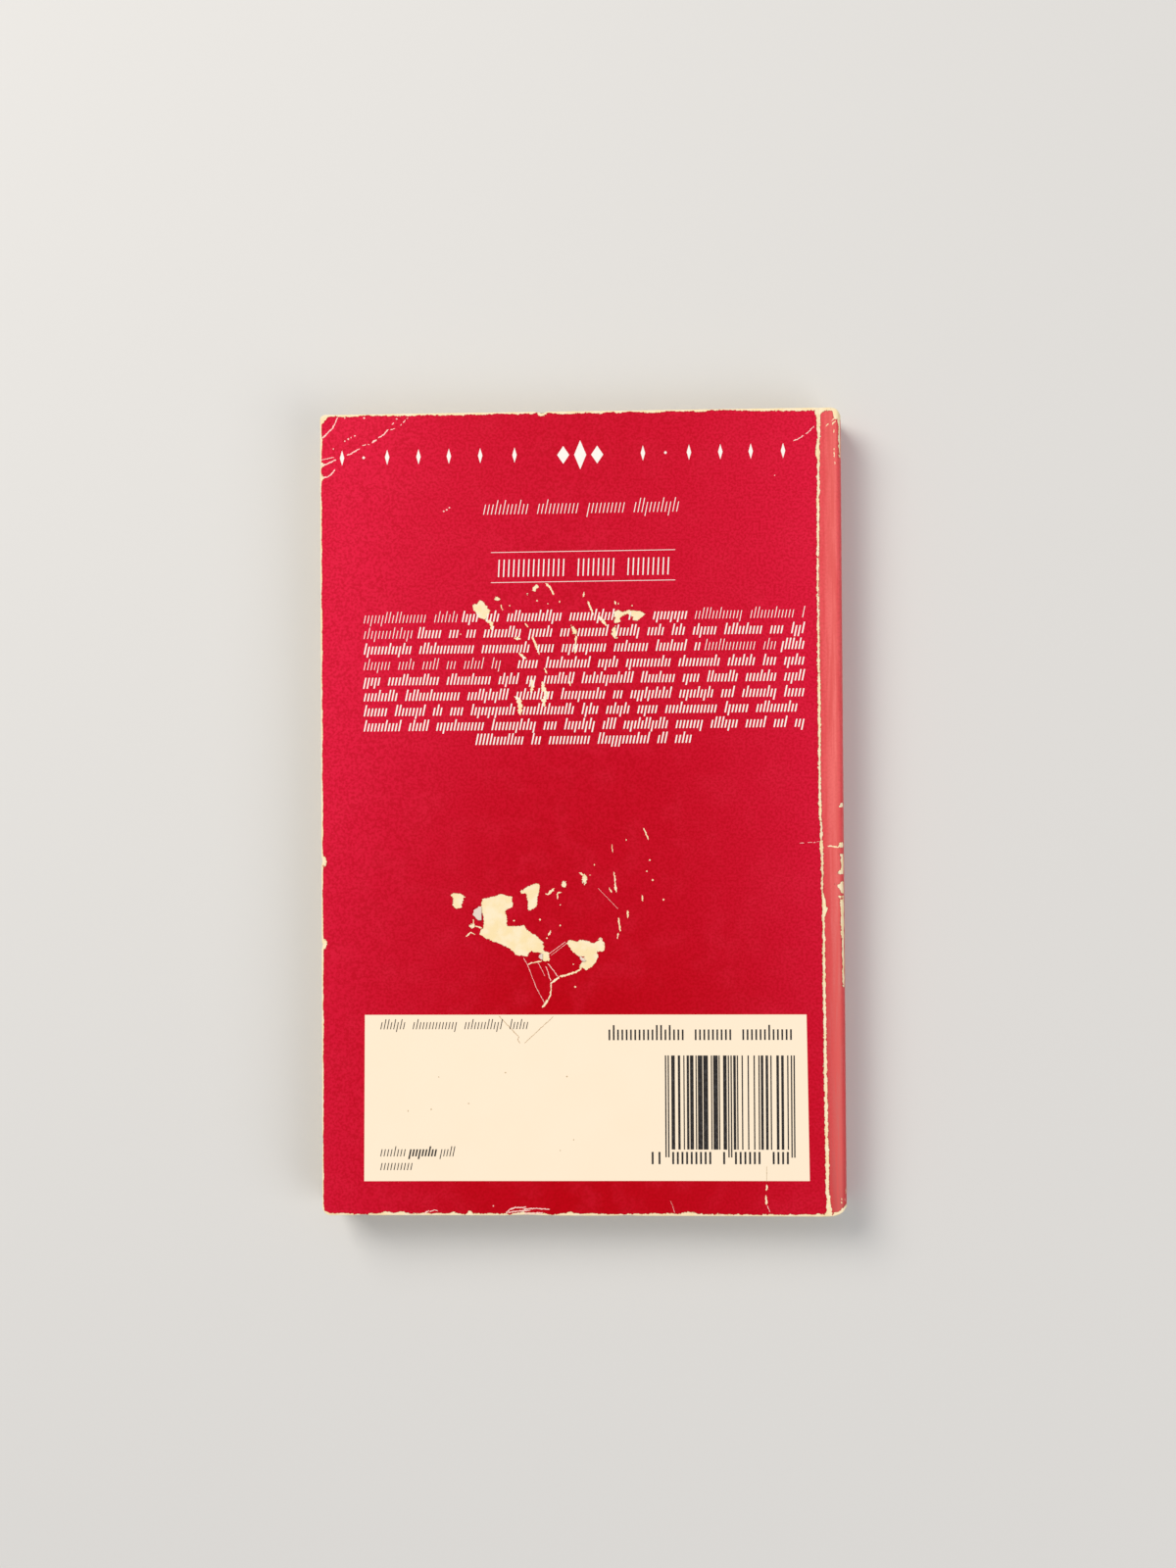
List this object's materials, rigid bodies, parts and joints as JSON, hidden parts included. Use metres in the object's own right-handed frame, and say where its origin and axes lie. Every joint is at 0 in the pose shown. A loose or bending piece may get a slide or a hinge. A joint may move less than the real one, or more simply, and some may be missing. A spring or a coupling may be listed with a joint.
{
  "type": "paperback book",
  "caption": "Worn paperback book with a glued page block, a rounded spine and two soft card covers that open on creased hinges.",
  "frame": {"origin": "under the middle of the closed book, on the surface that it lies on", "axes": "+X from the fore-edge to the spine, +Y from the tail to the head along the spine, +Z from the front cover up to the back cover"},
  "size_m": [0.129, 0.198, 0.0132],
  "materials": {
    "leaves": "uncoated bulky book paper, yellowed at its trimmed edges",
    "binding_glue": "amber hot-melt glue",
    "spine_card": "laminated card, faded and rubbed pale along its folds",
    "cover_card": "satin laminated card, red, with pale worn edges and peeled spots"
  },
  "bodies": {
    "book_block": {"text_block": "leaves", "spine_glue": "binding_glue", "spine_wrap": "spine_card"},
    "back_cover": {"back_cover": "cover_card"},
    "front_cover": {"front_cover": "cover_card"}
  },
  "joints": [
    {"name": "back_cover_hinge", "type": "hinge", "parent": "book_block", "child": "back_cover", "pos_m": [0.0588, 0, 0.012], "axis": [0, 1, 0], "range_deg": [0, 170]},
    {"name": "front_cover_hinge", "type": "hinge", "parent": "book_block", "child": "front_cover", "pos_m": [0.0588, 0, 0], "axis": [0, -1, 0], "range_deg": [0, 170]}
  ]
}
